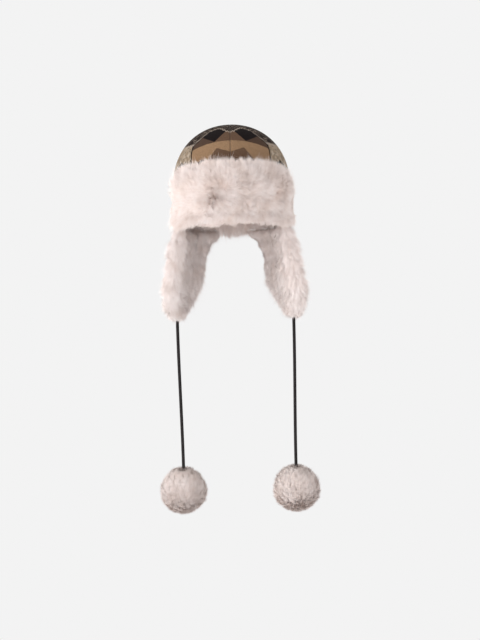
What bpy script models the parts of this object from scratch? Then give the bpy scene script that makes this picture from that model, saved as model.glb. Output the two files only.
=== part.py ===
"""Earflap hat with a patterned cloth crown, a turned-up fur flap over the brow, two long
fur-lined earflaps, and a fur pompom on a cord below each of them.

Metres, +Z up. The hat faces -Y. The origin is the centre of the head opening, at the level
of the crown's rim.
"""

import math
import random

import bmesh
import bpy
from mathutils import Matrix, Vector

# Crown: two cloth halves that meet in a seam from front to back
CROWN_HALF_WIDTH = 0.100
CROWN_HALF_DEPTH = 0.118
CROWN_HEIGHT = 0.173
DOME_HEIGHT = 0.101
DOME_FULLNESS = 2.1
CLOTH = 0.002
SEAM_GAP = 0.0003

# Clearances: LINED_UP where facets of two pieces face each other, LOOSE where they don't,
# and EDGE_ROOM round the slanting edge of a cover
LINED_UP = 0.0003
LOOSE = 0.0008
EDGE_ROOM = 0.002

# Fur lining inside the crown
LINING_PILE = 0.014
LINING_TUFT = 0.005
LINING_FURRED_HEIGHT = 0.045
RIM_TUFT = 0.012

# Front flap: fur turned up over the brow, from temple to temple
FRONT_HEIGHT = 0.094
FRONT_PILE = 0.018
FRONT_TUFT = 0.009
FRONT_REACH_DEG = 75.0
FRONT_FOLD_DROP = 0.003
FRONT_END_LIFT = 0.005
FRONT_END_HEIGHT_SHARE = 0.50
FRONT_END_PILE_SHARE = 0.25

# Earflaps: a cloth cover outside, deep fur inside that wraps round the cover's edge
EARFLAP_DROP = 0.1435
EARFLAP_ROOT_HALF = 0.066
EARFLAP_TIP_HALF = 0.050
EARFLAP_ROUND = 0.066
EARFLAP_SEAT_HALF = 0.008
EARFLAP_ROOT_DEG = 20.0
EARFLAP_TIP_DEG = 14.0
EARFLAP_FLARE = 0.14
EARFLAP_CURL = 7.0
EARFLAP_CURL_FROM = 0.105
EARFLAP_BACK_FILLET = 0.034
EARFLAP_FRONT_FILLET = 0.006
EARFLAP_FILLET_DROP = 0.013
EARFLAP_PILE = 0.021
EARFLAP_FRINGE = 0.009
EARFLAP_WRAP = 0.007
EARFLAP_WRAP_DROP = 0.030
EARFLAP_TUFT = 0.007

# Cords and pompoms
CORD_DIAMETER = 0.0055
CORD_DROP = 0.2785
CORD_LEAN_IN = 0.0035
POMPOM_DIAMETER = 0.072
POMPOM_TUFT = 0.005
POMPOM_SEAT_DEPTH = 0.010
POMPOM_SEAT_ROOM = 0.0015

# How finely the forms are cut into faces
PLAN_STEPS = 40
DOME_RINGS = 9
SKIRT_RINGS = 3
FRONT_STEPS = 34
FRONT_RING_POINTS = 14
EARFLAP_ROWS = 12
COVER_COLUMNS = 9
POMPOM_STEPS = 18
POMPOM_ROWS = 10
UNDER_COVER = (-1.0, -0.7, -0.35, 0.0, 0.35, 0.7, 1.0)
OVER_HEAD = (-0.75, -0.4, 0.0, 0.4, 0.75)
TIP_SHRINK = 0.6
CORD_BEVEL_RESOLUTION = 2
CORD_POINT_DIAMETERS = 2.5

# Colours, linear RGB, with roughness
FABRICS = {
    "jacquard": ((0.34, 0.22, 0.13), 0.85),
    "fur": ((0.84, 0.74, 0.70), 0.95),
    "cord": ((0.02, 0.015, 0.016), 0.8),
}

SKIRT_HEIGHT = CROWN_HEIGHT - DOME_HEIGHT
PLAN_RADIUS = (CROWN_HALF_WIDTH + CROWN_HALF_DEPTH) / 2
FRONT_DEG = -90.0
chance = random.Random(11)


def power(value, exponent):
    """value to the exponent, with its sign kept."""
    return math.copysign(abs(value) ** exponent, value)


def crown_point(plan, height, out):
    """The point at that plan angle and height, out from the crown's outer surface along its normal."""
    rise = min(max((height - SKIRT_HEIGHT) / DOME_HEIGHT, 0.0), 1.0)
    girth = (1.0 - rise**DOME_FULLNESS) ** (1.0 / DOME_FULLNESS)
    across = max(girth, 1e-6) ** (DOME_FULLNESS - 1)
    normal = Vector(
        (
            across * math.cos(plan) / CROWN_HALF_WIDTH,
            across * math.sin(plan) / CROWN_HALF_DEPTH,
            rise ** (DOME_FULLNESS - 1) / DOME_HEIGHT,
        )
    ).normalized()
    on_surface = Vector(
        (
            CROWN_HALF_WIDTH * girth * math.cos(plan),
            CROWN_HALF_DEPTH * girth * math.sin(plan),
            height,
        )
    )
    return on_surface + normal * out


def earflap_point(along, drop, out):
    """A point of the earflap at +X: along from its middle line towards the back, drop below the
    rim, and out from the cover's outer side."""
    share = drop / EARFLAP_DROP
    middle = math.radians(
        EARFLAP_ROOT_DEG + (EARFLAP_TIP_DEG - EARFLAP_ROOT_DEG) * share
    )
    plan = middle + along / PLAN_RADIUS
    curled = EARFLAP_CURL * max(drop - EARFLAP_CURL_FROM, 0.0) ** 2
    half_width = CROWN_HALF_WIDTH + EARFLAP_FLARE * drop - curled
    half_depth = CROWN_HALF_DEPTH + EARFLAP_FLARE * drop - curled
    normal = Vector((math.cos(plan) / half_width, math.sin(plan) / half_depth, 0.0))
    on_cover = Vector(
        (half_width * math.cos(plan), half_depth * math.sin(plan), -drop)
    )
    return on_cover + normal.normalized() * out


def earflap_edges(drop):
    """How far the cover reaches to the front and to the back of its middle line at that drop."""
    share = min(drop / EARFLAP_DROP, 1.0)
    straight = EARFLAP_ROOT_HALF + (EARFLAP_TIP_HALF - EARFLAP_ROOT_HALF) * share
    past = max(drop - (EARFLAP_DROP - EARFLAP_ROUND), 0.0) / EARFLAP_ROUND
    narrowed = straight * math.sqrt(max(1.0 - past**2, 0.0))
    half = max(narrowed, EARFLAP_SEAT_HALF)
    fillet = math.exp(-drop / EARFLAP_FILLET_DROP)
    return half + EARFLAP_FRONT_FILLET * fillet, half + EARFLAP_BACK_FILLET * fillet


def eased(share):
    """0 to 1 with level ends."""
    share = min(max(share, 0.0), 1.0)
    return share * share * (3.0 - 2.0 * share)


def rounded_section(points, squareness):
    """(along, out) of a rounded strip's section: along runs from -1 to 1, out from 0 to 1."""
    turns = [2 * math.pi * (k + 0.5) / points for k in range(points)]
    return [
        (power(math.cos(t), squareness), 0.5 + 0.5 * power(math.sin(t), squareness))
        for t in turns
    ]


def lofted(rings):
    """A closed bmesh through rings of points, its first and last ring filled."""
    mesh = bmesh.new()
    rows = [[mesh.verts.new(point) for point in ring] for ring in rings]
    for row, following in zip(rows, rows[1:]):
        for k in range(len(row)):
            after = (k + 1) % len(row)
            mesh.faces.new((row[k], row[after], following[after], following[k]))
    mesh.faces.new(rows[0])
    mesh.faces.new(rows[-1])
    bmesh.ops.recalc_face_normals(mesh, faces=mesh.faces)
    return mesh


def tufted(mesh, faces, length, combed):
    """Raises a tapering lock of fur on each of these faces. combed(point) says how far a lock
    leans from there, as a share of its length."""
    poked = bmesh.ops.poke(mesh, faces=faces, center_mode="MEAN", offset=0.0)
    mesh.normal_update()
    for tip in poked["verts"]:
        reach = length * chance.uniform(0.7, 1.2)
        aside = Vector([chance.uniform(-0.25, 0.25) for _ in range(3)])
        tip.co += (tip.normal + aside + combed(tip.co)) * reach
    return mesh


def upright(_point):
    return Vector((0.0, 0.0, 0.0))


def object_of(name, mesh, fabric):
    """Puts a bmesh in the scene as a named, smooth-shaded object of that fabric."""
    data = bpy.data.meshes.new(name)
    mesh.to_mesh(data)
    mesh.free()
    data.materials.append(fabric)
    data.shade_smooth()
    made = bpy.data.objects.new(name, data)
    hat.objects.link(made)
    return made


def solid_mesh(thing):
    """The object's mesh with its modifiers worked out, as a bmesh. The object is removed."""
    graph = bpy.context.evaluated_depsgraph_get()
    data = bpy.data.meshes.new_from_object(thing.evaluated_get(graph))
    mesh = bmesh.new()
    mesh.from_mesh(data)
    bpy.data.objects.remove(thing)
    return mesh


def thickened(thing, wall):
    """Gives an open surface its wall, inwards."""
    solidify = thing.modifiers.new("wall", "SOLIDIFY")
    solidify.thickness = wall
    solidify.offset = -1.0
    solidify.use_even_offset = True
    solidify.use_quality_normals = True
    return thing


def mirrored(thing, name):
    """The other side's copy of a piece."""
    data = thing.data.copy()
    data.transform(Matrix.Scale(-1.0, 4, (1.0, 0.0, 0.0)))
    data.flip_normals()
    made = bpy.data.objects.new(name, data)
    hat.objects.link(made)
    return made


def fabric_material(name):
    colour, roughness = FABRICS[name]
    material = bpy.data.materials.new(name)
    material.use_nodes = True
    shader = material.node_tree.nodes["Principled BSDF"]
    shader.inputs["Base Color"].default_value = (*colour, 1.0)
    shader.inputs["Roughness"].default_value = roughness
    shader.inputs["Metallic"].default_value = 0.0
    return material


def dome_surface(out):
    """The crown's open surface at that distance from its outer one, faces out: half a sphere
    drawn to the dome's form, and its foot extruded down to the rim."""
    mesh = bmesh.new()
    bmesh.ops.create_uvsphere(
        mesh, u_segments=PLAN_STEPS, v_segments=2 * (DOME_RINGS + 1), radius=1.0
    )
    below = [v for v in mesh.verts if v.co.z < -1e-4]
    bmesh.ops.delete(mesh, geom=below, context="VERTS")
    for vert in mesh.verts:
        plan = math.atan2(vert.co.y, vert.co.x)
        rise = max(min(vert.co.z, 1.0), 0.0) ** (2.0 / DOME_FULLNESS)
        vert.co = crown_point(plan, SKIRT_HEIGHT + DOME_HEIGHT * rise, out)
    for ring in range(SKIRT_RINGS):
        foot = [edge for edge in mesh.edges if edge.is_boundary]
        grown = bmesh.ops.extrude_edge_only(mesh, edges=foot)["geom"]
        height = SKIRT_HEIGHT * (1.0 - (ring + 1) / SKIRT_RINGS)
        for vert in (g for g in grown if isinstance(g, bmesh.types.BMVert)):
            vert.co.z = height
    bmesh.ops.recalc_face_normals(mesh, faces=mesh.faces)
    return mesh


def crown_halves():
    """Two cloth halves, cut from one dome on either side of the seam."""
    for name, side in (("crown_right", 1.0), ("crown_left", -1.0)):
        half = thickened(object_of(name, dome_surface(0.0), jacquard), CLOTH)
        bpy.ops.mesh.primitive_cube_add(size=2.0)
        keep = bpy.context.object
        keep.name = name + "_side"
        reach = CROWN_HALF_WIDTH + CROWN_HALF_DEPTH
        keep.data.transform(Matrix.Diagonal((reach, reach, 2 * CROWN_HEIGHT, 1.0)))
        keep.data.transform(Matrix.Translation((side * (reach + SEAM_GAP / 2), 0, 0)))
        keep.hide_render = True
        keep.display_type = "WIRE"
        for collection in keep.users_collection:
            collection.objects.unlink(keep)
        cutters.objects.link(keep)
        cut = half.modifiers.new("side", "BOOLEAN")
        cut.operation = "INTERSECT"
        cut.object = keep


def lining():
    """The fur lining: a thick shell, with tufts inside its lower edge, and tufts below the rim
    wherever no earflap hangs from it."""
    shell = object_of("shell", dome_surface(-CLOTH - LINED_UP), fur)
    mesh = solid_mesh(thickened(shell, LINING_PILE))
    bmesh.ops.recalc_face_normals(mesh, faces=mesh.faces)
    front_reach, back_reach = earflap_edges(0.0)
    root = math.radians(EARFLAP_ROOT_DEG)
    first = root - (front_reach + EARFLAP_FRINGE) / PLAN_RADIUS
    last = root + (back_reach + EARFLAP_FRINGE) / PLAN_RADIUS
    step = 2 * math.pi / PLAN_STEPS

    def inside(face):
        centre = face.calc_center_median()
        inwards = face.normal.x * centre.x + face.normal.y * centre.y < 0
        low = centre.z < LINING_FURRED_HEIGHT
        return inwards and low and abs(face.normal.z) < 0.5

    def free_rim(face):
        centre = face.calc_center_median()
        plan = math.atan2(centre.y, abs(centre.x))
        clear = plan < first - step or plan > last + step / 2
        return face.normal.z < -0.9 and clear

    lower = [face for face in mesh.faces if inside(face)]
    rim = [face for face in mesh.faces if free_rim(face)]
    tufted(mesh, lower, LINING_TUFT, upright)
    tufted(mesh, rim, RIM_TUFT, upright)
    object_of("lining", mesh, fur)


def front_flap():
    """The fur flap over the brow: a strip of rounded section that follows the crown, lower and
    thinner at its two ends, with tufts combed up, down and sideways from its middle."""
    section = rounded_section(FRONT_RING_POINTS, 0.7)
    rings = []
    for step in range(FRONT_STEPS + 1):
        share = 2.0 * step / FRONT_STEPS - 1.0
        fullness = (1.0 - abs(share) ** 3) ** 0.6
        height = FRONT_HEIGHT * (
            FRONT_END_HEIGHT_SHARE + (1 - FRONT_END_HEIGHT_SHARE) * fullness
        )
        pile = FRONT_PILE * (
            FRONT_END_PILE_SHARE + (1 - FRONT_END_PILE_SHARE) * fullness
        )
        plan = math.radians(FRONT_DEG + FRONT_REACH_DEG * share)
        middle = height / 2 - FRONT_FOLD_DROP + FRONT_END_LIFT * abs(share) ** 4
        rings.append(
            [
                crown_point(plan, middle + along * height / 2, LOOSE + out * pile)
                for along, out in section
            ]
        )
    mesh = lofted(rings)

    def outside(face):
        centre = face.calc_center_median()
        return face.normal.x * centre.x + face.normal.y * centre.y > 0

    def combed(point):
        up = (point.z - FRONT_HEIGHT * 0.45) / FRONT_HEIGHT
        to_end = min(abs(point.x) / CROWN_HALF_WIDTH, 1.0) ** 3
        return Vector((-0.6 * power(point.x, 0.0) * to_end, 0.0, 1.6 * up))

    tufted(mesh, [f for f in mesh.faces if outside(f)], FRONT_TUFT, combed)
    object_of("front_flap", mesh, fur)


def earflap_drops():
    """How far below the rim each row of an earflap is, closer together towards the tip."""
    turns = [0.5 * math.pi * row / EARFLAP_ROWS for row in range(EARFLAP_ROWS + 1)]
    return [LINED_UP + (EARFLAP_DROP - LINED_UP) * math.sin(turn) for turn in turns]


def earflap_covers():
    """The cloth outside of each earflap: a tongue that follows the crown and flares outwards."""
    mesh = bmesh.new()
    rows = []
    for drop in earflap_drops():
        to_front, to_back = earflap_edges(drop)
        row = []
        for column in range(COVER_COLUMNS + 1):
            across = 2.0 * column / COVER_COLUMNS - 1.0
            along = across * (to_back if across > 0 else to_front)
            row.append(mesh.verts.new(earflap_point(along, drop, 0.0)))
        rows.append(row)
    for row, below in zip(rows, rows[1:]):
        for k in range(COVER_COLUMNS):
            mesh.faces.new((row[k], below[k], below[k + 1], row[k + 1]))
    mesh = solid_mesh(thickened(object_of("cover", mesh, jacquard), CLOTH))
    for vert in mesh.verts:
        vert.co.z = min(vert.co.z, -LINED_UP)
    cover = object_of("earflap_cover_right", mesh, jacquard)
    mirrored(cover, "earflap_cover_left")


def fur_section(drop, below_cover):
    """One section of an earflap's fur, as (along, out): under the cover, round its back edge,
    along the side to the head, and round its front edge. below_cover closes it over outside."""
    to_front, to_back = earflap_edges(drop)
    past = max(drop - (EARFLAP_DROP - EARFLAP_ROUND), 0.0) / EARFLAP_ROUND
    fullness = math.sqrt(max(1.0 - 0.6 * past**2, 0.3))
    fringe = EARFLAP_FRINGE * fullness
    pile = EARFLAP_PILE * fullness
    wrap = EARFLAP_WRAP * eased(drop / EARFLAP_WRAP_DROP)
    under = wrap * 0.8 if below_cover else -CLOTH - LOOSE
    section = []
    for across in UNDER_COVER:
        reach = (to_back if across > 0 else to_front) + EDGE_ROOM
        section.append((across * reach, under))
    edge = [(EDGE_ROOM, 0.7 * wrap), (0.55 * fringe, wrap), (fringe, 0.2 * wrap)]
    edge += [(1.1 * fringe, -0.45 * pile), (0.4 * fringe, -0.85 * pile)]
    section += [(to_back + past_edge, out) for past_edge, out in edge]
    for across in reversed(OVER_HEAD):
        reach = to_back if across > 0 else to_front
        section.append((across * reach, -pile))
    section += [(-to_front - past_edge, out) for past_edge, out in reversed(edge)]
    return section


def earflap_rings():
    """Sections of an earflap's fur from the rim down, the last two below the cover's tip."""
    rows = [(drop, False) for drop in earflap_drops()]
    rows[-1] = (EARFLAP_DROP + LOOSE, False)
    rows.append((EARFLAP_DROP + 3 * LOOSE, True))
    rows.append((EARFLAP_DROP + EARFLAP_FRINGE, True))
    rings = []
    for drop, below_cover in rows:
        section = fur_section(drop, below_cover)
        rings.append([earflap_point(along, drop, out) for along, out in section])
    end = rings[-1]
    middle = sum(end, Vector()) / len(end)
    rings[-1] = [middle + (point - middle) * TIP_SHRINK for point in end]
    return rings


def earflap_furs():
    """The deep fur of each earflap, combed down and towards its edges."""
    rings = earflap_rings()
    mesh = lofted(rings)
    mesh.faces.ensure_lookup_table()
    count = len(rings[0])
    first = len(UNDER_COVER)
    free = [
        mesh.faces[row * count + column]
        for row in range(len(rings) - 1)
        for column in range(count)
        if first <= column < count - 1 or row == len(rings) - 2
    ]
    middle = earflap_point(0.0, EARFLAP_DROP / 2, -CLOTH - EARFLAP_PILE / 2)

    def combed(point):
        away = (point - middle).normalized()
        return Vector((0.0, away.y * 0.4, -0.6))

    tufted(mesh, free, EARFLAP_TUFT, combed)
    for vert in mesh.verts:
        vert.co.z = min(vert.co.z, -LINED_UP)
    right = object_of("earflap_fur_right", mesh, fur)
    mirrored(right, "earflap_fur_left")


def cord_route():
    """The right cord's line, from the earflap's tip straight down and a little inwards."""
    foot = earflap_rings()[-1]
    top = sum(foot, Vector()) / len(foot)
    top.z -= LINED_UP
    last = top - Vector((CORD_LEAN_IN, 0.0, CORD_DROP))
    count = max(int(CORD_DROP / (CORD_DIAMETER * CORD_POINT_DIAMETERS)), 2)
    line = []
    for k in range(count + 1):
        share = k / count
        sway = 0.5 - 0.5 * math.cos(math.pi * share)
        across = top.x + (last.x - top.x) * sway
        line.append(Vector((across, top.y, top.z + (last.z - top.z) * share)))
    return line


def cord(name, line):
    curve = bpy.data.curves.new(name, "CURVE")
    curve.dimensions = "3D"
    curve.bevel_depth = CORD_DIAMETER / 2
    curve.bevel_resolution = CORD_BEVEL_RESOLUTION
    curve.use_fill_caps = True
    spline = curve.splines.new("POLY")
    spline.points.add(len(line) - 1)
    for point, place in zip(spline.points, line):
        point.co = (*place, 1.0)
    curve.materials.append(cord_black)
    hat.objects.link(bpy.data.objects.new(name, curve))


def pompom(name, cord_end):
    """A ball of fur with a flat-bottomed dimple, in which the cord's end is seated."""
    radius = POMPOM_DIAMETER / 2
    seat = CORD_DIAMETER / 2 + POMPOM_SEAT_ROOM
    seat_height = radius - POMPOM_SEAT_DEPTH
    brim = math.asin(min(2.0 * seat / radius, 0.9))
    profile = [(0.0, seat_height), (seat, seat_height)]
    for row in range(POMPOM_ROWS + 1):
        turn = brim + (math.pi - brim) * row / POMPOM_ROWS
        profile.append((radius * math.sin(turn), radius * math.cos(turn)))
    curve = bpy.data.meshes.new("profile")
    points = [(x, 0.0, z) for x, z in profile]
    curve.from_pydata(points, [(k, k + 1) for k in range(len(points) - 1)], [])
    turned = bpy.data.objects.new("profile", curve)
    hat.objects.link(turned)
    screw = turned.modifiers.new("turn", "SCREW")
    screw.steps = screw.render_steps = POMPOM_STEPS
    screw.use_merge_vertices = True
    screw.merge_threshold = 1e-5
    mesh = solid_mesh(turned)
    bmesh.ops.remove_doubles(mesh, verts=mesh.verts, dist=1e-5)
    bmesh.ops.recalc_face_normals(mesh, faces=mesh.faces)
    outer = [
        f for f in mesh.faces if f.calc_center_median().length > radius * 0.93
    ]
    tufted(mesh, outer, POMPOM_TUFT, upright)
    ball = object_of(name, mesh, fur)
    ball.location = cord_end - Vector((0.0, 0.0, LINED_UP + seat_height))


for thing in list(bpy.data.objects):
    bpy.data.objects.remove(thing)
hat = bpy.data.collections.new("earflap_hat")
cutters = bpy.data.collections.new("cutters")
bpy.context.scene.collection.children.link(hat)
bpy.context.scene.collection.children.link(cutters)
jacquard = fabric_material("jacquard")
fur = fabric_material("fur")
cord_black = fabric_material("cord")

crown_halves()
lining()
front_flap()
earflap_covers()
earflap_furs()
right_line = cord_route()
left_line = [Vector((-p.x, p.y, p.z)) for p in right_line]
for side, line in (("right", right_line), ("left", left_line)):
    cord("cord_" + side, line)
    pompom("pompom_" + side, line[-1])
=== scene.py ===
import math

import bpy
import numpy as np
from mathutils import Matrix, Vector, noise
from mathutils.bvhtree import BVHTree
from mathutils.kdtree import KDTree


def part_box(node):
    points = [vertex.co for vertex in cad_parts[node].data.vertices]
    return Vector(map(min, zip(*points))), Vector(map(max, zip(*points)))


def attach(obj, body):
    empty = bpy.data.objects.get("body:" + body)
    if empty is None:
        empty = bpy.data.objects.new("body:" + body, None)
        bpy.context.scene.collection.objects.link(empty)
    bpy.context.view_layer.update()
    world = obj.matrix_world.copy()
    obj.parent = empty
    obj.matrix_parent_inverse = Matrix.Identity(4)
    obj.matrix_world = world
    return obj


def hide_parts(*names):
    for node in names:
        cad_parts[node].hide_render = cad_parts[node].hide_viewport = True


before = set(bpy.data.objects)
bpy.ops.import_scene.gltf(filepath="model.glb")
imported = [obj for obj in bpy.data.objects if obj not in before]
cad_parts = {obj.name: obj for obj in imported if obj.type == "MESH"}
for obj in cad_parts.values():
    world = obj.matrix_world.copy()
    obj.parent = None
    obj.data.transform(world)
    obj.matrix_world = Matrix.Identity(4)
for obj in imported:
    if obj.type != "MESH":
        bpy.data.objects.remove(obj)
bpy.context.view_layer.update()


# The camera stands level with the middle of the hat, 2.6 m in front of it, tipped by 1.7
# degrees as the photograph is. The studio is plain: an even pale ground, soft light from all
# round, one large lamp on the left, and a weaker one low in front.
def linear(hex_colour):
    """An sRGB hex colour as linear RGBA."""
    parts = [int(hex_colour[k : k + 2], 16) / 255 for k in (1, 3, 5)]
    light = [c / 12.92 if c <= 0.04045 else ((c + 0.055) / 1.055) ** 2.4 for c in parts]
    return (*light, 1.0)


def add_node(tree, kind, settings=(), links=()):
    """Adds a node, sets its settings, and gives its inputs their links or values."""
    made = tree.nodes.new(kind)
    for name, value in dict(settings).items():
        setattr(made, name, value)
    for socket, value in dict(links).items():
        if isinstance(value, bpy.types.NodeSocket):
            tree.links.new(value, made.inputs[socket])
        else:
            made.inputs[socket].default_value = value
    return made


scene = bpy.context.scene
scene.view_settings.view_transform = "Standard"
lens = bpy.data.cameras.new("camera")
lens.lens = 85.03
lens.sensor_width = 36.0
camera = bpy.data.objects.new("camera", lens)
camera.location = (0.0077, -2.6, -0.1622)
camera.rotation_euler = (math.radians(90.0), math.radians(1.66), 0.0)
scene.collection.objects.link(camera)
scene.camera = camera

for name, place, wide, power in (
    ("key_lamp", (-2.95, -1.45, 0.0), 2.8, 66.0),
    ("fill_lamp", (-0.2, -3.0, -0.8), 2.4, 33.0),
):
    lamp = bpy.data.lights.new(name, "AREA")
    lamp.shape = "DISK"
    lamp.size = wide
    lamp.energy = power
    shown = bpy.data.objects.new(name, lamp)
    shown.location = place
    aim = Vector((0.0, 0.0, -0.05)) - Vector(place)
    shown.rotation_euler = aim.to_track_quat("-Z", "Y").to_euler()
    scene.collection.objects.link(shown)

ground_hex = "#f3f3f3"
scene.world = bpy.data.worlds.new("studio")
scene.world.use_nodes = True
sky = scene.world.node_tree
sky.nodes.clear()
seen = add_node(sky, "ShaderNodeLightPath")
upwards = add_node(
    sky,
    "ShaderNodeSeparateXYZ",
    {},
    {0: add_node(sky, "ShaderNodeTexCoord").outputs["Generated"]},
)
from_below, from_above = 0.98, 0.90
height = add_node(
    sky,
    "ShaderNodeMapRange",
    {},
    {
        "Value": upwards.outputs["Z"],
        "From Min": -1.0,
        "From Max": 1.0,
        "To Min": from_below,
        "To Max": from_above,
    },
)
soft = add_node(
    sky, "ShaderNodeBackground", {}, {"Color": (1.0, 1.0, 1.0, 1.0), "Strength": height.outputs[0]}
)
plain = add_node(sky, "ShaderNodeBackground", {}, {"Color": linear(ground_hex)})
both = add_node(
    sky,
    "ShaderNodeMixShader",
    {},
    {0: seen.outputs["Is Camera Ray"], 1: soft.outputs[0], 2: plain.outputs[0]},
)
add_node(sky, "ShaderNodeOutputWorld", {}, {0: both.outputs[0]})

bpy.ops.object.select_all(action="DESELECT")
bpy.ops.mesh.primitive_plane_add(size=6.0, location=(0.0, 0.0, -1.0))
floor = bpy.context.object
floor.name = "floor"
floor.visible_diffuse = floor.visible_glossy = floor.visible_shadow = False
paper = bpy.data.materials.new("pale_studio_floor")
paper.use_nodes = True
paper.node_tree.nodes.clear()
glow = add_node(paper.node_tree, "ShaderNodeEmission", {}, {"Color": linear(ground_hex)})
add_node(paper.node_tree, "ShaderNodeOutputMaterial", {}, {0: glow.outputs[0]})
floor.data.materials.append(paper)


# The crown is two halves of a fine jacquard cloth, woven in camel, browns, near-black and
# cream, and sewn together in a seam from brow to nape with the edges turned in.
# A dome, a little fuller than an ellipsoid, on a straight wall that reaches down to the rim
half_wide, half_deep, dome_high, dome_foot = 0.100, 0.118, 0.101, 0.072
dome_fullness = 2.1
cloth_thick = 0.002
seam_half_gap = 0.00004
turned_in = (1.0, 0.987, 0.993)
wall_rows = 6

# Jacquard cloth, woven: matt, with the pattern in the yarns and a fine rib that breaks up the
# light. The real rib is 0.5 mm, and it is drawn at 1.4 mm, as coarse as it needs to show.
jacquard = bpy.data.materials.new("woven_jacquard_cloth")
jacquard.use_nodes = True
weave = jacquard.node_tree
weave.nodes.clear()
yarns = {
    "camel": linear("#8b6f55"),
    "brown": linear("#5e4839"),
    "dark_brown": linear("#4a392f"),
    "near_black": linear("#150e0e"),
    "cap": linear("#251b17"),
    "line": linear("#7d7066"),
    "braid": linear("#988a7e"),
    "cream": linear("#a99a8a"),
    "side_cream": linear("#97846f"),
    "olive_grey": linear("#5f564b"),
}
rib_scale, grain_scale = 230.0, 420.0
around = add_node(weave, "ShaderNodeUVMap", {"uv_map": "pattern"})
on_cloth = add_node(weave, "ShaderNodeTexCoord").outputs["Object"]
wobble = add_node(
    weave, "ShaderNodeTexNoise", {}, {"Vector": on_cloth, "Scale": grain_scale, "Detail": 1.0}
)
shaken = add_node(
    weave,
    "ShaderNodeVectorMath",
    {"operation": "MULTIPLY_ADD"},
    {0: wobble.outputs["Color"], 1: (0.012, 0.006, 0.0), 2: around.outputs["UV"]},
)
degrees = add_node(
    weave,
    "ShaderNodeVectorMath",
    {"operation": "MULTIPLY_ADD"},
    {0: shaken.outputs[0], 1: (90.0, 180.0, 0.0), 2: (-0.5, -0.5, 0.0)},
)
axes = add_node(weave, "ShaderNodeSeparateXYZ", {}, {0: degrees.outputs[0]})
rib = add_node(
    weave,
    "ShaderNodeTexWave",
    {"bands_direction": "Z"},
    {"Vector": on_cloth, "Scale": rib_scale, "Distortion": 1.5, "Detail": 2.0, "Detail Scale": 3.0},
)
grain = add_node(
    weave, "ShaderNodeTexNoise", {}, {"Vector": on_cloth, "Scale": grain_scale, "Detail": 4.0}
)

# What the pattern is worked out from: the turn from the seam and the fall from the crown's top,
# both in degrees, and fields for the fine scrolls, which run level on the cap and upright at
# the sides
drawn = {
    "turn": axes.outputs["X"],
    "fall": axes.outputs["Y"],
    "rib": rib.outputs["Fac"],
    "grain": grain.outputs["Fac"],
}
for name, across, down in (
    ("cap_field", 0.075, 0.17),
    ("side_field", 0.17, 0.06),
    ("light_field", 0.12, 0.05),
):
    stretched = add_node(
        weave,
        "ShaderNodeVectorMath",
        {"operation": "MULTIPLY"},
        {0: degrees.outputs[0], 1: (across, down, 0.0)},
    )
    field = add_node(
        weave,
        "ShaderNodeTexNoise",
        {"noise_dimensions": "2D"},
        {"Vector": stretched.outputs[0], "Scale": 1.0, "Detail": 1.0, "Distortion": 0.3},
    )
    drawn[name] = field.outputs["Fac"]

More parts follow.
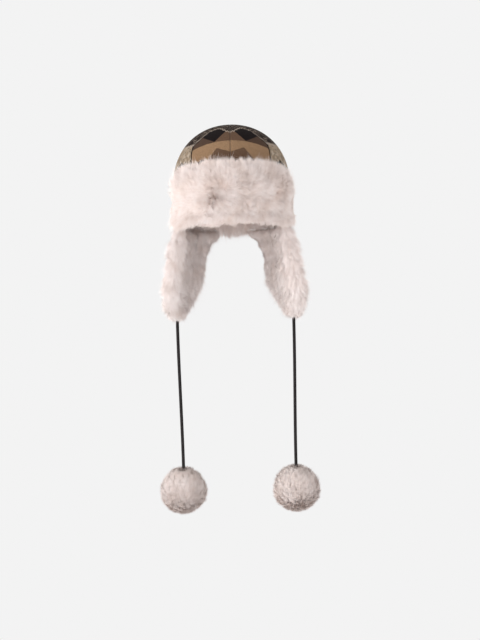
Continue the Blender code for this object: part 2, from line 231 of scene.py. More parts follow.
# The pattern, step by step: a name, an operation, and the steps or numbers that it takes
pattern_steps = [
    # The cap's lower edge: two waves, a dip behind each, and small scallops all along
    ("near_seam", "MINIMUM", "turn", 44.0),
    ("wave_angle", "MULTIPLY", "near_seam", math.pi / 44.0),
    ("wave", "SINE", "wave_angle"),
    ("wave_squared", "MULTIPLY", "wave", "wave"),
    ("past_wave", "SUBTRACT", "turn", 36.0),
    ("dip_slope", "MULTIPLY", "past_wave", 1.25),
    ("dip_start", "MAXIMUM", "dip_slope", 0.0),
    ("dip", "MINIMUM", "dip_start", 16.0),
    ("scallop_angle", "MULTIPLY", "turn", 2 * math.pi / 5.2),
    ("scallop_wave", "SINE", "scallop_angle"),
    ("scallops", "MULTIPLY", "scallop_wave", 0.8),
    ("cap_waves", "MULTIPLY_ADD", "wave_squared", -8.0, 37.6),
    ("cap_dips", "ADD", "cap_waves", "dip"),
    ("cap_foot", "ADD", "cap_dips", "scallops"),
    # The camel arch over the brow, the brown peaks on it, and the diamonds above it
    ("arch_share", "DIVIDE", "turn", 43.0),
    ("arch_curve", "MULTIPLY", "arch_share", "arch_share"),
    ("arch_top", "MULTIPLY_ADD", "arch_curve", 7.5, 51.4),
    ("peak_rise", "MULTIPLY_ADD", "turn", 1.43, 38.6),
    ("peak_fall", "MULTIPLY_ADD", "turn", -0.3, 64.5),
    ("peak_top", "MAXIMUM", "peak_rise", "peak_fall"),
    ("diamond_fall", "MULTIPLY_ADD", "turn", 1.25, 28.5),
    ("diamond_rise", "MULTIPLY_ADD", "turn", -0.36, 59.1),
    ("diamond_foot", "MINIMUM", "diamond_fall", "diamond_rise"),
    # Rows of zigzags below
    ("teeth", "PINGPONG", "turn", 15.0),
    ("zigzag", "MULTIPLY_ADD", "teeth", -0.55, "fall"),
    ("past_first_row", "SUBTRACT", "zigzag", 66.0),
    ("in_row", "MODULO", "past_first_row", 34.0),
    ("rows", "GREATER_THAN", "zigzag", 71.0),
    # The sides, with their edging, which ends where the rows start
    ("side_edge", "MULTIPLY_ADD", "fall", -0.28, 64.0),
    ("past_edge", "GREATER_THAN", "turn", "side_edge"),
    ("side", "MAXIMUM", "past_edge", "rows"),
    ("edging_rise", "SUBTRACT", 64.0, "fall"),
    ("edging_slope", "MULTIPLY", "edging_rise", 0.16),
    ("edging_least", "MAXIMUM", "edging_slope", 0.75),
    ("edging_wide", "MINIMUM", "edging_least", 1.9),
    ("from_edge", "SUBTRACT", "turn", "side_edge"),
    ("off_edge", "ABSOLUTE", "from_edge"),
    ("on_edge", "LESS_THAN", "off_edge", "edging_wide"),
    ("above_rows", "SUBTRACT", 1.0, "rows"),
    ("edging", "MULTIPLY", "on_edge", "above_rows"),
    # Scrolls: contour lines of the fields
    ("cap_rings", "MULTIPLY", "cap_field", 6.0),
    ("cap_contours", "PINGPONG", "cap_rings", 0.5),
    ("cap_scrolls", "LESS_THAN", "cap_contours", 0.075),
    ("side_rings", "MULTIPLY", "side_field", 9.0),
    ("side_contours", "PINGPONG", "side_rings", 0.5),
    ("side_scrolls", "LESS_THAN", "side_contours", 0.16),
    ("light_rings", "MULTIPLY", "light_field", 5.0),
    ("light_contours", "PINGPONG", "light_rings", 0.5),
    ("light_scrolls", "LESS_THAN", "light_contours", 0.14),
    # Where each yarn shows
    ("flank", "GREATER_THAN", "turn", 20.0),
    ("diamond", "LESS_THAN", "fall", "diamond_foot"),
    ("arch", "GREATER_THAN", "fall", "arch_top"),
    ("peak", "GREATER_THAN", "fall", "peak_top"),
    ("side_lines", "MULTIPLY", "side", "side_scrolls"),
    ("side_lights", "MULTIPLY", "side", "light_scrolls"),
    ("past_dark_line", "GREATER_THAN", "in_row", 5.0),
    ("dark_line", "MULTIPLY", "past_dark_line", "rows"),
    ("past_camel_row", "GREATER_THAN", "in_row", 8.0),
    ("camel_row", "MULTIPLY", "past_camel_row", "rows"),
    ("past_cream_line", "GREATER_THAN", "in_row", 22.0),
    ("cream_line", "MULTIPLY", "past_cream_line", "rows"),
    ("past_brown_row", "GREATER_THAN", "in_row", 24.5),
    ("brown_row", "MULTIPLY", "past_brown_row", "rows"),
    ("cap", "LESS_THAN", "fall", "cap_foot"),
    ("cap_lines", "MULTIPLY", "cap", "cap_scrolls"),
    ("below_cap", "SUBTRACT", "fall", "cap_foot"),
    ("shadow_line_middle", "MULTIPLY_ADD", "below_cap", 0.8, -1.8),
    ("off_shadow_line", "ABSOLUTE", "shadow_line_middle"),
    ("shadow_line_wide", "MULTIPLY_ADD", "turn", 0.05, -1.1),
    ("on_shadow_line", "LESS_THAN", "off_shadow_line", "shadow_line_wide"),
    ("off_side", "SUBTRACT", 1.0, "side"),
    ("shadow_line", "MULTIPLY", "on_shadow_line", "off_side"),
    ("off_cap_edge", "ABSOLUTE", "below_cap"),
    ("cap_edge", "LESS_THAN", "off_cap_edge", 0.9),
    # The light and dark of the rib and the yarns
    ("rib_shade", "MULTIPLY_ADD", "rib", 0.14, 0.58),
    ("grain_shade", "MULTIPLY", "grain", 0.70),
    ("shade", "ADD", "rib_shade", "grain_shade"),
]
for name, operation, *takes in pattern_steps:
    inputs = {k: drawn.get(value, value) for k, value in enumerate(takes)}
    step = add_node(weave, "ShaderNodeMath", {"operation": operation}, inputs)
    drawn[name] = step.outputs[0]

# Each yarn is laid over the ones before it
colour = yarns["brown"]
for shown, yarn in (
    ("flank", "dark_brown"),
    ("diamond", "near_black"),
    ("arch", "camel"),
    ("peak", "brown"),
    ("side", "side_cream"),
    ("side_lines", "olive_grey"),
    ("side_lights", "cream"),
    ("edging", "near_black"),
    ("dark_line", "near_black"),
    ("camel_row", "camel"),
    ("cream_line", "cream"),
    ("brown_row", "brown"),
    ("cap", "cap"),
    ("cap_lines", "line"),
    ("shadow_line", "near_black"),
    ("cap_edge", "braid"),
):
    mixed = add_node(
        weave,
        "ShaderNodeMix",
        {"data_type": "RGBA"},
        {0: drawn[shown], 6: colour, 7: yarns[yarn]},
    )
    colour = mixed.outputs[2]
toned = add_node(
    weave,
    "ShaderNodeVectorMath",
    {"operation": "SCALE"},
    {0: colour, "Scale": drawn["shade"]},
)
relief = add_node(
    weave, "ShaderNodeBump", {}, {"Strength": 0.6, "Distance": 0.0006, "Height": drawn["rib"]}
)
cloth_finish = add_node(
    weave,
    "ShaderNodeBsdfPrincipled",
    {},
    {
        "Base Color": toned.outputs[0],
        "Normal": relief.outputs[0],
        "Roughness": 0.86,
        "Specular IOR Level": 0.08,
    },
)
add_node(weave, "ShaderNodeOutputMaterial", {}, {0: cloth_finish.outputs[0]})


def map_pattern(piece):
    """Gives the piece its pattern map: the turn from the seam, in quarter turns, and the angle
    down from the crown's top, in half turns."""
    mesh = piece.data
    layer = mesh.uv_layers.new(name="pattern")
    for face in mesh.polygons:
        turns, falls = [], []
        for corner in face.vertices:
            x, y, z = mesh.vertices[corner].co
            across, along = abs(x) / half_wide, y / half_deep
            from_top = math.hypot(across, along)
            side_turn = math.degrees(math.atan2(across, -along))
            turns.append(None if from_top < 1e-3 else min(side_turn, 180.0 - side_turn))
            falls.append(math.degrees(math.atan2(from_top, (z - dome_foot) / dome_high)))
        known = [t for t in turns if t is not None] or [0.0]
        for loop, t, f in zip(face.loop_indices, turns, falls):
            t = sum(known) / len(known) if t is None else t
            layer.data[loop].uv = (t / 90.0, f / 180.0)


for side_name, way in (("right", 1.0), ("left", -1.0)):
    bpy.ops.object.select_all(action="DESELECT")
    bpy.ops.mesh.primitive_uv_sphere_add(segments=96, ring_count=48, radius=1.0)
    crown = bpy.context.object
    crown.name = "crown_cloth_" + side_name
    bpy.ops.object.mode_set(mode="EDIT")
    bpy.ops.mesh.select_all(action="SELECT")
    bpy.ops.mesh.bisect(plane_co=(0, 0, 0), plane_no=(0, 0, 1), clear_inner=True)
    bpy.ops.mesh.select_all(action="SELECT")
    bpy.ops.mesh.bisect(plane_co=(0, 0, 0), plane_no=(way, 0, 0), clear_inner=True)
    bpy.ops.object.mode_set(mode="OBJECT")
    for vert in crown.data.vertices:
        x, y, z = vert.co
        girth = max(math.hypot(x, y), 1e-9)
        fuller = girth ** (2.0 / dome_fullness - 1.0) if girth > 1e-6 else 1.0
        vert.co = (
            x * fuller * half_wide,
            y * fuller * half_deep,
            dome_foot + dome_high * max(z, 0.0) ** (2.0 / dome_fullness),
        )
    for row in range(wall_rows):
        lowest = min(v.co.z for v in crown.data.vertices)
        for part in (*crown.data.vertices, *crown.data.edges, *crown.data.polygons):
            part.select = False
        for edge in crown.data.edges:
            ends = [crown.data.vertices[v].co.z for v in edge.vertices]
            edge.select = max(ends) < lowest + 1e-6
        bpy.ops.object.mode_set(mode="EDIT")
        bpy.ops.mesh.select_mode(type="EDGE")
        bpy.ops.mesh.extrude_region_move(
            TRANSFORM_OT_translate={"value": (0, 0, -dome_foot / wall_rows)}
        )
        bpy.ops.object.mode_set(mode="OBJECT")
    # The seam's edge is turned in, by 1.5 mm towards the inside of the dome
    for part in (*crown.data.vertices, *crown.data.edges, *crown.data.polygons):
        part.select = False
    for edge in crown.data.edges:
        edge.select = all(abs(crown.data.vertices[v].co.x) < 1e-6 for v in edge.vertices)
    for vert in crown.data.vertices:
        if abs(vert.co.x) < 1e-6:
            vert.co.x = way * seam_half_gap
    bpy.ops.object.mode_set(mode="EDIT")
    bpy.ops.mesh.extrude_region_move(TRANSFORM_OT_translate={"value": (0, 0, 0)})
    bpy.ops.transform.resize(value=turned_in, center_override=(0, 0, 0))
    bpy.ops.mesh.select_all(action="SELECT")
    bpy.ops.mesh.normals_make_consistent(inside=False)
    bpy.ops.object.mode_set(mode="OBJECT")
    wall = crown.modifiers.new("wall", "SOLIDIFY")
    wall.thickness, wall.offset = cloth_thick, -1.0
    wall.use_quality_normals = True
    smooth = crown.modifiers.new("smooth", "SUBSURF")
    smooth.levels = smooth.render_levels = 1
    for modifier in ("wall", "smooth"):
        bpy.ops.object.modifier_apply(modifier=modifier)
    bpy.ops.object.shade_smooth()
    map_pattern(crown)
    crown.data.materials.append(jacquard)
    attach(crown, "root")
    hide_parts("crown_" + side_name)


# The lining is the same fur as the flaps, sewn in with its pile towards the head. It is
# longest along the rim, where it hangs out below the cloth at the nape.
def fur_pad(node, name, cell, sink, lumps):
    """The solid body of a fur piece: the CAD node's form with its locks smoothed away, lying
    that far below its surface, and softly lumped as deep pile is."""
    bpy.ops.object.select_all(action="DESELECT")
    pad = bpy.data.objects.new(name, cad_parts[node].data.copy())
    scene.collection.objects.link(pad)
    pad.select_set(True)
    bpy.context.view_layer.objects.active = pad
    pad.data.materials.clear()
    bpy.ops.object.mode_set(mode="EDIT")
    bpy.ops.mesh.select_all(action="SELECT")
    bpy.ops.mesh.remove_doubles(threshold=1e-5)
    bpy.ops.object.mode_set(mode="OBJECT")
    even = pad.modifiers.new("even", "REMESH")
    even.mode, even.voxel_size = "VOXEL", cell
    melt = pad.modifiers.new("melt", "SMOOTH")
    melt.factor, melt.iterations = 0.5, 12
    inset = pad.modifiers.new("inset", "DISPLACE")
    inset.mid_level, inset.strength = 0.0, -sink
    clouds = bpy.data.textures.new(name + "_lumps", "CLOUDS")
    clouds.noise_scale = 0.016
    lumped = pad.modifiers.new("lumps", "DISPLACE")
    lumped.texture, lumped.texture_coords = clouds, "GLOBAL"
    lumped.mid_level, lumped.strength = 0.5, lumps
    for modifier in ("even", "melt", "inset", "lumps"):
        bpy.ops.object.modifier_apply(modifier=modifier)
    # The thin ends of the CAD's locks come off as crumbs, and go
    bpy.ops.object.mode_set(mode="EDIT")
    bpy.ops.mesh.select_all(action="SELECT")
    bpy.ops.mesh.separate(type="LOOSE")
    bpy.ops.object.mode_set(mode="OBJECT")
    bodies = sorted(bpy.context.selected_objects, key=lambda body: len(body.data.vertices))
    pad = bodies.pop()
    for crumb in bodies:
        bpy.data.objects.remove(crumb)
    pad.name = name
    bpy.ops.object.select_all(action="DESELECT")
    pad.select_set(True)
    bpy.context.view_layer.objects.active = pad
    bpy.ops.object.shade_smooth()
    return pad


def unit(vectors):
    """The vectors' directions."""
    return vectors / np.maximum(np.linalg.norm(vectors, axis=1, keepdims=True), 1e-9)


def grow_fur(
    pad, seed, where, lie, length, coats, locks, loose=0.25, ragged=(0.6, 1.12), pale=0.6, soft=1.1
):
    """Adds tapered hairs to the pad, rooted in its faces and drawn together in locks. where
    gives how densely they grow, lie the way they are combed at a place, and length how long
    they are there. Each coat is a number of hairs, their share of that length, their width at
    the root, how far a lock pulls their tips together, and whether they are bent. loose is how
    far single hairs stray from the lie, ragged how unequal their lengths are, pale how
    light their tone is, where raised above the default it is painted light that lifts a deep
    coat's own shade, and soft how far the coat takes the light as one surface."""
    patch = 0.022
    chance = np.random.default_rng(seed)
    noise.seed_set(seed)
    mesh = pad.data
    mesh.calc_loop_triangles()
    corners = np.empty(len(mesh.loop_triangles) * 3, np.int32)
    mesh.loop_triangles.foreach_get("vertices", corners)
    places = np.empty(len(mesh.vertices) * 3, np.float32)
    mesh.vertices.foreach_get("co", places)
    normals = np.empty(len(mesh.vertices) * 3, np.float32)
    mesh.vertex_normals.foreach_get("vector", normals)
    corners = corners.reshape(-1, 3)
    triangles = places.reshape(-1, 3)[corners].astype(float)
    facing = normals.reshape(-1, 3)[corners].astype(float)
    # Taken in order of place, so that how the faces are numbered makes no difference
    middles = np.round(triangles.mean(1) * 1e5)
    order = np.lexsort((middles[:, 2], middles[:, 1], middles[:, 0]))
    triangles, facing = triangles[order], facing[order]
    area = np.linalg.norm(
        np.cross(triangles[:, 1] - triangles[:, 0], triangles[:, 2] - triangles[:, 0]), axis=1
    )
    share = area * where(triangles.mean(1), unit(facing.mean(1)))

    def rooted(hairs):
        picked = chance.choice(len(triangles), hairs, p=share / share.sum())
        a, b = np.sqrt(chance.random(hairs)), chance.random(hairs)
        mix = np.stack([1 - a, a * (1 - b), a * b], 1)[..., None]
        return (triangles[picked] * mix).sum(1), unit((facing[picked] * mix).sum(1))

    # The middles of the locks. A hair rises to its bend and lies over from there, and drift is
    # how the coat changes over some 20 mm.
    foot_lean, tip_rise = 0.7, 0.3
    to_bend, past_bend = 0.45, 0.55
    heart_root, heart_out = rooted(locks)
    drift = np.array([noise.noise_vector(place / patch) for place in heart_root])
    heart_lean = lie(heart_root, heart_out, drift) + 0.25 * drift
    heart_lean += chance.normal(0.0, 0.18, (locks, 3))
    heart_long = length(heart_root)[:, None] * chance.uniform(0.85, 1.1, (locks, 1))
    heart_middle = heart_root + unit(heart_out + foot_lean * heart_lean) * heart_long * to_bend
    heart_tip = heart_middle + unit(tip_rise * heart_out + heart_lean) * heart_long * past_bend
    heart_tone = pale + 0.32 * drift[:, 0] + chance.normal(0.0, 0.07, locks)
    tree = KDTree(locks)
    for k, place in enumerate(heart_root):
        tree.insert(place, k)
    tree.balance()

    # The hairs: tapered ribbons that face outwards, a few of them loose and longer
    sunk, strays = 0.0012, 0.08
    points, loops, counts, spots, leans = [], [], [], [], []
    first_point = 0
    for hairs, reach, wide, pull, bent in coats:
        root, out = rooted(hairs)
        lock = np.array([tree.find(place)[1] for place in root])
        combed = heart_lean[lock] + chance.normal(0.0, loose, (hairs, 3))
        long = (reach * length(root) * chance.uniform(*ragged, hairs))[:, None]
        stray = (chance.random(hairs) < strays)[:, None]
        long = np.where(stray, (1.0 + 0.7 * (ragged[1] - ragged[0])) * long, long)
        first = unit(out + foot_lean * combed)
        middle = root + first * long * to_bend
        tip = middle + unit(tip_rise * out + combed) * long * past_bend
        drawn = pull * chance.uniform(0.4, 1.2, (hairs, 1)) * ~stray
        towards = root + reach * (heart_tip - heart_root)[lock]
        middle += (heart_middle[lock] - middle) * drawn * 0.25
        tip += (0.5 * (towards + heart_tip[lock]) - tip) * drawn
        beside = unit(np.cross(first, out + chance.normal(0.0, 0.12, (hairs, 3))))
        half = (wide / 2 * chance.uniform(0.7, 1.3, hairs))[:, None] * beside
        foot = root - first * sunk
        rows, heights = [foot - half, foot + half, tip], [0.05, 0.05, 0.99]
        faces = [0, 1, 2]
        corners_of = [3]
        if bent:
            rows = [foot - half, foot + half, middle + 0.8 * half, middle - 0.8 * half, tip]
            heights = [0.05, 0.05, 0.5, 0.5, 0.99]
            faces = [0, 1, 2, 3, 3, 2, 4]
            corners_of = [4, 3]
        count = len(rows)
        start = first_point + count * np.arange(hairs)[:, None]
        points.append(np.stack(rows, 1).reshape(-1, 3))
        loops.append((np.array(faces)[None] + start).ravel())
        counts.append(np.tile(corners_of, hairs))
        tone = np.clip(heart_tone[lock] + chance.normal(0.0, 0.08, hairs), 0.02, 0.96)
        step = np.array([0.0, 0.02, 0.02, 0.0, 0.01] if bent else [0.0, 0.02, 0.01])
        across, up = tone[:, None] + step, np.tile(heights, (hairs, 1))
        spots.append(np.stack([across, up], 2).reshape(-1, 2))
        fronts = [np.cross(beside, first), np.cross(beside, unit(tip - middle))]
        lower, upper = (soft * out + front for front in fronts)
        leaning = [lower, lower, upper]
        if bent:
            leaning = [lower, lower, lower + upper, lower + upper, upper]
        leans.append(np.stack(leaning, 1).reshape(-1, 3))
        first_point += count * hairs
    points, loops = np.concatenate(points), np.concatenate(loops)
    counts, spots = np.concatenate(counts), np.concatenate(spots)
    coat = bpy.data.meshes.new(pad.name + "_hairs")
    coat.vertices.add(len(points))
    coat.vertices.foreach_set("co", points.astype(np.float32).ravel())
    coat.loops.add(len(loops))
    coat.loops.foreach_set("vertex_index", loops.astype(np.int32))
    coat.polygons.add(len(counts))
    coat.polygons.foreach_set("loop_start", (np.cumsum(counts) - counts).astype(np.int32))
    coat.update(calc_edges=True)

    # The map that carries the fur's colours: a hair's own tone across, root to tip upwards,
    # where the roots are painted darker as shade deep in the coat. The pad takes the middle
    # heights, as it is what shows between the hairs.
    layer = coat.uv_layers.new(name="OFBake")
    layer.data.foreach_set("uv", spots[loops].astype(np.float32).ravel())
    pad_tone = np.array([noise.noise_vector(vert.co / patch)[0] for vert in mesh.vertices])
    under = mesh.uv_layers.new(name="OFBake")
    for face in mesh.polygons:
        tone_here = 0.55 + 0.30 * float(np.mean([pad_tone[v] for v in face.vertices]))
        for k, loop in enumerate(face.loop_indices):
            u, v = ((0.0, 0.40), (0.02, 0.40), (0.02, 0.46), (0.0, 0.46))[k % 4]
            under.data[loop].uv = (min(max(tone_here + u, 0.0), 1.0), v)
    hair = bpy.data.objects.new(coat.name, coat)
    scene.collection.objects.link(hair)
    bpy.ops.object.select_all(action="DESELECT")
    hair.select_set(True)
    pad.select_set(True)
    bpy.context.view_layer.objects.active = pad
    bpy.ops.object.join()
    bpy.ops.object.shade_smooth()
    # A coat takes the light as one soft surface, so each hair's normals lean to its pad's
    pad.data.normals_split_custom_set_from_vertices(
        np.concatenate([normals.reshape(-1, 3), unit(np.concatenate(leans))]).astype(np.float32)
    )
    return pad


def fur_material(name, shaded_root_hex, middle_hex, tip_hex, warm_hex, light_hex):
    """Faux fur, knitted into a backing and sheared: matt and soft, with darker roots, which are
    painted shade deep in the coat, pale tips, and a tone that changes a little from lock to
    lock, which gives the coat its depth."""
    material = bpy.data.materials.new(name)
    material.use_nodes = True
    tree = material.node_tree
    tree.nodes.clear()
    where = add_node(
        tree,
        "ShaderNodeSeparateXYZ",
        {},
        {0: add_node(tree, "ShaderNodeUVMap", {"uv_map": "OFBake"}).outputs["UV"]},
    )
    # Root to tip: the roots are painted darker, as shade deep in the coat
    ramp = add_node(tree, "ShaderNodeValToRGB", {}, {0: where.outputs["Y"]})
    ramp.color_ramp.elements[0].color = linear(shaded_root_hex)
    ramp.color_ramp.elements[1].color = linear(tip_hex)
    ramp.color_ramp.elements.new(0.45).color = linear(middle_hex)
    tone = add_node(tree, "ShaderNodeValToRGB", {}, {0: where.outputs["X"]})
    tone.color_ramp.elements[0].position = 0.1
    tone.color_ramp.elements[0].color = linear(warm_hex)
    tone.color_ramp.elements[1].position = 0.9
    tone.color_ramp.elements[1].color = linear(light_hex)
    toned = add_node(
        tree,
        "ShaderNodeMix",
        {"data_type": "RGBA", "blend_type": "MULTIPLY"},
        {0: 1.0, 6: ramp.outputs["Color"], 7: tone.outputs["Color"]},
    )
    finish = add_node(
        tree,
        "ShaderNodeBsdfPrincipled",
        {},
        {
            "Base Color": toned.outputs[2],
            "Roughness": 0.85,
            "Specular IOR Level": 0.15,
            "Sheen Weight": 0.1,
            "Sheen Roughness": 0.6,
        },
    )
    add_node(tree, "ShaderNodeOutputMaterial", {}, {0: finish.outputs[0]})
    return material


# The first colour is the roots', painted darker as the shade deep in the coat
blush_fur = fur_material("blush_faux_fur", "#ecdfd9", "#f1e7e3", "#f4efed", "#e5d8d0", "#fdfbfb")
lining_pad = fur_pad("lining", "lining_fur", 0.0045, 0.0020, 0.0015)
rim_top, crown_foot = 0.006, 0.05
free_before, free_behind = -22.0, 76.0


def inside_and_rim(places, normals):
    """All over the inside, and densest along the rim, between the earflaps alone."""
    radial = unit(places * (1.0, 1.0, 0.0))
    inward = -(normals * radial).sum(1)
    turned = np.degrees(np.arctan2(places[:, 1], np.abs(places[:, 0])))
    free = (turned < free_before) | (turned > free_behind)
    under = (normals[:, 2] < -0.2) & (places[:, 2] < 0.012) & (free | (inward > 0.3))
    inner = (inward > 0.2) | ((normals[:, 2] < -0.3) & (places[:, 2] > crown_foot))
    low = places[:, 2] < crown_foot
    return 3.0 * under * np.clip(0.7 - inward, 0.0, 1.4) + inner * np.where(low, 1.6, 0.45)


def hang_down(places, normals, drift):
    """Straight down everywhere."""
    return np.tile([0.0, 0.0, -1.0], (len(places), 1))


def lining_length(places):
    """Short at the brow, where the front flap hangs over it, and long at the nape."""
    rim = np.where(places[:, 1] < 0.0, 0.005, 0.0185)
    inside = np.where(places[:, 2] < crown_foot, 0.012, 0.009)
    return np.where(places[:, 2] < rim_top, rim, inside)


lining_coats = [(14000, 1.0, 0.0008, 0.2, True), (30000, 0.8, 0.0007, 0.1, False)]
grow_fur(lining_pad, 21, inside_and_rim, hang_down, lining_length, lining_coats, 2500)
lining_pad.data.materials.append(blush_fur)
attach(lining_pad, "root")
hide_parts("lining")


# The front flap is a strip of long fur on cloth, turned up over the brow from temple to temple
# and sewn down along its fold, with its pile brushed up at the top and down at the bottom.
flap_pad = fur_pad("front_flap", "front_flap_fur", 0.0035, 0.0035, 0.002)
flap_middle, flap_half = 0.044, 0.047
parting = -0.03
least_lean = 0.85


def away_from_head(places, normals):
    """On the outside, thinning out towards the crown, and sparse along the fold."""
    radial = unit(places * (1.0 / half_wide**2, 1.0 / half_deep**2, 0.0))
    outside = np.clip((normals * radial).sum(1) + 0.35, 0.0, 1.0)
    return outside * np.where(normals[:, 2] < -0.7, 0.3, 1.0)


def towards_end(places):
    """0 over most of the brow, and 1 at the flap's two ends."""
    return np.clip(np.abs(places[:, 0]) / half_wide, 0.0, 1.0) ** 4


def past_temple(places):
    """0 over the brow, and 1 from 85 mm to each side on."""
    return np.clip((np.abs(places[:, 0]) - 0.055) / 0.03, 0.0, 1.0)


def upper_corner(places):
    """1 in the flap's two upper corners."""
    high = np.clip((places[:, 2] - 0.035) / 0.025, 0.0, 1.0)
    return high * past_temple(places)


def brushed(places, normals, drift):
    """Up at the top, down at the bottom, and to both sides from a parting in between."""
    up = (places[:, 2] - flap_middle) / flap_half + 0.35 * drift[:, 1] + 0.3 * upper_corner(places)
    combed = np.clip(1.7 * np.abs(up), 0.0, 1.0)[:, None]
    along = np.stack([-normals[:, 1], normals[:, 0], np.zeros(len(up))], 1)
    sideways = np.clip((places[:, :1] - parting) / 0.012 + 2.0 * drift[:, 2:], -1.0, 1.0)
    curled = along * sideways + 1.6 * drift
    lean = combed * np.sign(up)[:, None] * (0.0, 0.0, 1.0) + (1.0 - combed) * curled
    lean[:, 1] += (1.6 - 0.8 * upper_corner(places)) * towards_end(places)
    lean -= normals * (np.where(up < -0.3, 0.2, 0.5) * towards_end(places))[:, None]
    # Where the combing parts, the locks lie every way, and none stands straight out
    strength = np.linalg.norm(lean, axis=1, keepdims=True)
    ruffled = np.array([noise.noise_vector(place / 0.006) for place in places])
    loosely = np.clip((places[:, :1] - parting + 0.025) / 0.02, 0.0, 1.0)
    loosely = loosely * (1.0 - towards_end(places)[:, None])
    lean += 2.2 * loosely * np.clip(1.2 - strength, 0.0, 1.0) * ruffled
    strength = np.linalg.norm(lean, axis=1, keepdims=True)
    return lean * np.maximum(strength, least_lean) / np.maximum(strength, 1e-3)


def flap_length(places):
    """Longest at the top and where the flap's ends hang over the earflaps."""
    up = (places[:, 2] - flap_middle) / flap_half
    long = np.interp(up, [-1.0, -0.8, -0.4, 0.6, 1.0], [0.0045, 0.009, 0.014, 0.016, 0.018])
    over_flap = past_temple(places) * np.clip(-up - 0.3, 0.0, 0.6)
    long = long * (1.0 - 0.35 * towards_end(places))
    return long + 0.027 * over_flap + 0.0055 * upper_corner(places)


flap_coats = [
    (15000, 1.0, 0.0007, 0.28, True),
    (125000, 0.9, 0.0005, 0.14, False),
    (2500, 1.25, 0.0005, 0.0, True),
]
grow_fur(flap_pad, 22, away_from_head, brushed, flap_length, flap_coats, 3000, loose=0.28)
flap_pad.data.materials.append(blush_fur)
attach(flap_pad, "root")
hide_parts("front_flap")


# Each earflap's outside is a tongue of the crown's cloth, cut to a rounded tip and sewn to the
# crown's rim. The fur behind it is wider than the cloth, and shows all round its edge.
for side_name in ("right", "left"):
    bpy.ops.object.select_all(action="DESELECT")
    cover = bpy.data.objects.new(
        "earflap_cloth_" + side_name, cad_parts["earflap_cover_" + side_name].data.copy()
    )
    scene.collection.objects.link(cover)
    cover.select_set(True)
    bpy.context.view_layer.objects.active = cover
    cover.data.materials.clear()
    bpy.ops.object.mode_set(mode="EDIT")
    bpy.ops.mesh.select_all(action="SELECT")
    bpy.ops.mesh.remove_doubles(threshold=1e-5)
    bpy.ops.mesh.tris_convert_to_quads()
    bpy.ops.object.mode_set(mode="OBJECT")
    smooth = cover.modifiers.new("smooth", "SUBSURF")
    smooth.levels = smooth.render_levels = 2
    bpy.ops.object.modifier_apply(modifier="smooth")
    bpy.ops.object.shade_smooth()
    for layer in list(cover.data.uv_layers):
        cover.data.uv_layers.remove(layer)
    map_pattern(cover)
    cover.data.materials.append(jacquard)
    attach(cover, "root")
    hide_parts("earflap_cover_" + side_name)


# Each earflap's inside is the longest fur. It is deeper than the cloth is wide, so it rolls
# round the cloth's edge on all sides and is combed down to a rounded tip.
def combed_down(places, normals, drift):
    """Down, less so at the tip, and outwards past the cloth at the front edge."""
    down = np.tile([0.0, 0.0, -0.95], (len(places), 1))
    near_tip = np.clip((-places[:, 2] - 0.09) / 0.06, 0.0, 1.0)
    down[:, 2] *= 1.0 - 0.4 * near_tip
    down[:, 1] += 0.12
    outer = np.clip((normals[:, 0] * np.sign(places[:, 0]) + 0.2) / 0.8, 0.0, 1.0)
    front = np.clip(-normals[:, 1] + 0.3, 0.0, 1.0)
    down[:, 0] += np.sign(places[:, 0]) * 0.75 * outer * front
    return down


def earflap_length(places):
    """Longest over the middle of the earflap, and shorter at the nape, most so at the right."""
    long = np.interp(-places[:, 2], [0.0, 0.02, 0.10, 0.15], [0.013, 0.017, 0.018, 0.012])
    above_tip = np.clip((places[:, 2] + 0.09) / 0.04, 0.0, 1.0)
    at_nape = np.clip(places[:, 1] / 0.03, 0.0, 1.0) * above_tip
    return long * (1.0 - np.where(places[:, 0] > 0.0, 0.75, 0.35) * at_nape)


earflap_coats = [
    (12000, 1.0, 0.0007, 0.22, True),
    (135000, 0.9, 0.0005, 0.1, False),
    (2500, 1.35, 0.0005, 0.0, True),
]
for side_name, seed in (("right", 31), ("left", 32)):
    pad = fur_pad("earflap_fur_" + side_name, "earflap_pile_" + side_name, 0.0035, 0.0025, 0.002)
    sewn_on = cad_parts["earflap_cover_" + side_name].data
    cloth = BVHTree.FromPolygons(
        [vert.co for vert in sewn_on.vertices], [face.vertices for face in sewn_on.polygons]
    )

    def free_of_cover(places, normals):
        """Nowhere that the cloth lies over, nor on the top edge under the front flap."""
        under_cloth = [
            cloth.ray_cast(Vector(place), Vector(normal), 0.02)[0] is not None
            for place, normal in zip(places, normals)
        ]
        outside = (normals * unit(places * (1.0, 1.0, 0.0))).sum(1) > 0.1
        top = (places[:, 2] > -0.018) & (normals[:, 2] > 0.15) & outside & (places[:, 1] > -0.015)
        return np.where(under_cloth | top, 0.0, 1.0)

    # The earflaps' hairs are given a paler tone than the other pieces', as painted light that makes
    # up for the shade their hanging coat casts on itself
    grow_fur(
        pad,
        seed,
        free_of_cover,
        combed_down,
        earflap_length,
        earflap_coats,
        4500,
        loose=0.14,
        pale=0.78,
    )
    pad.data.materials.append(blush_fur)
    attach(pad, "root")
    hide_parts("earflap_fur_" + side_name)


# A ball of the same fur hangs on each cord, which is knotted inside it. It is trimmed round,
# and its pile leans towards the cord.
# Its roots are painted darker, as shade deep in the pile, as the flaps' fur is; its colours are on
# the whole a little darker than that fur's
pompom_fur = fur_material("cut_pompom_fur", "#e8dcd6", "#ece3df", "#f0e9e6", "#e6dad3", "#faf8f8")
ball_radius, pile_root = 0.036, 0.0035
cord_way = unit(np.array([[0.0, -0.35, 1.0]]))[0]


def all_over(places, normals):
    """The same over the whole ball."""
    return np.ones(len(places))


def drawn_to_cord(places, normals, drift):
    """Over the ball's surface, up to where the cord goes in."""
    return 0.95 * ((0.0, 0.0, 1.0) - normals * normals[:, 2:])


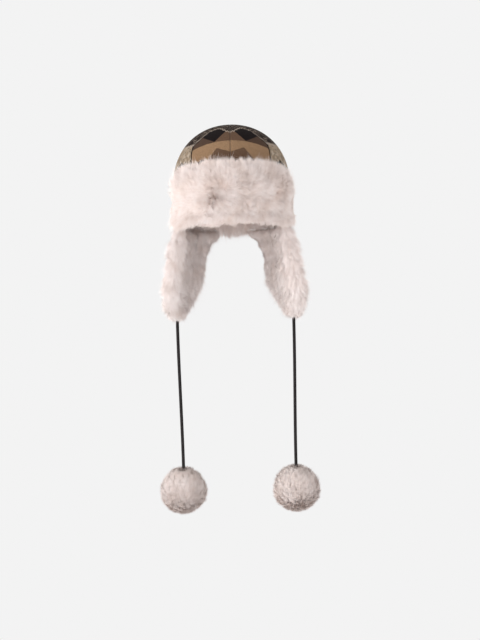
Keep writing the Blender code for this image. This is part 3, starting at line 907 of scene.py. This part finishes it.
pompom_coats = [(12000, 1.0, 0.0007, 0.1, True), (60000, 0.96, 0.0005, 0.05, False)]
for side_name, seed in (("right", 41), ("left", 42)):
    low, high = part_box("pompom_" + side_name)
    middle = (low + high) / 2
    bpy.ops.object.select_all(action="DESELECT")
    bpy.ops.mesh.primitive_ico_sphere_add(
        subdivisions=4, radius=ball_radius - pile_root, location=middle
    )
    ball = bpy.context.object
    ball.name = "pompom_ball_" + side_name
    bpy.ops.object.transform_apply(location=True)
    for layer in list(ball.data.uv_layers):
        ball.data.uv_layers.remove(layer)

    def ball_length(places):
        """Cut short round the cord, so that the pile dips there, and at the bottom."""
        towards_cord = unit(np.array(places) - np.array(middle)) @ cord_way
        angle = np.degrees(np.arccos(np.clip(towards_cord, -1.0, 1.0)))
        return 0.0150 * np.interp(angle, [5.0, 20.0, 110.0, 170.0], [0.45, 1.0, 1.0, 0.35])

    grow_fur(
        ball,
        seed,
        all_over,
        drawn_to_cord,
        ball_length,
        pompom_coats,
        1500,
        loose=0.15,
        ragged=(0.85, 1.0),
        soft=2.0,
    )
    ball.data.materials.append(pompom_fur)
    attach(ball, "root")
    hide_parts("pompom_" + side_name)


# A round braided cord of black yarn hangs from each earflap's tip. Its upper end is sewn into
# the fur, and its lower end is knotted inside the pompom.
cord_wide, cord_drop, cord_steps = 0.0055, 0.2785, 20

# Braided polyester cord: near-black, with a faint gloss on the crowns of the yarns.
braid = bpy.data.materials.new("black_braided_cord")
braid.use_nodes = True
braid.node_tree.nodes.clear()
yarn = add_node(braid.node_tree, "ShaderNodeTexCoord")
flecks = add_node(
    braid.node_tree,
    "ShaderNodeTexNoise",
    {},
    {"Vector": yarn.outputs["Object"], "Scale": 900.0, "Detail": 2.0},
)
lift = add_node(braid.node_tree, "ShaderNodeValToRGB", {}, {0: flecks.outputs["Fac"]})
lift.color_ramp.elements[0].position = 0.35
lift.color_ramp.elements[0].color = linear("#0b0808")
lift.color_ramp.elements[1].position = 0.75
lift.color_ramp.elements[1].color = linear("#231c1d")
braid_finish = add_node(
    braid.node_tree,
    "ShaderNodeBsdfPrincipled",
    {},
    {"Base Color": lift.outputs["Color"], "Roughness": 0.62, "Specular IOR Level": 0.2},
)
add_node(braid.node_tree, "ShaderNodeOutputMaterial", {}, {0: braid_finish.outputs[0]})

for side_name in ("right", "left"):
    low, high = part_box("cord_" + side_name)
    way = 1.0 if side_name == "right" else -1.0
    outer = high.x if way > 0 else -low.x
    inner = low.x if way > 0 else -high.x
    top = Vector((way * (outer - cord_wide / 2), (low.y + high.y) / 2, high.z))
    foot = Vector((way * (inner + cord_wide / 2), (low.y + high.y) / 2, low.z))
    route = []
    for k in range(cord_steps + 1):
        down = k / cord_steps
        sway = 0.5 - 0.5 * math.cos(math.pi * down)
        across = top.x + (foot.x - top.x) * sway
        route.append(Vector((across, top.y, top.z + (foot.z - top.z) * down)))
    curve = bpy.data.curves.new("cord_" + side_name + "_braid", "CURVE")
    curve.dimensions = "3D"
    curve.bevel_depth = cord_wide / 2
    curve.bevel_resolution = 4
    curve.use_fill_caps = True
    spline = curve.splines.new("POLY")
    spline.points.add(len(route) - 1)
    for point, where in zip(spline.points, route):
        point.co = (*where, 1.0)
    curve.materials.append(braid)
    cord = bpy.data.objects.new("cord_braid_" + side_name, curve)
    scene.collection.objects.link(cord)
    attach(cord, "root")
    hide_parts("cord_" + side_name)
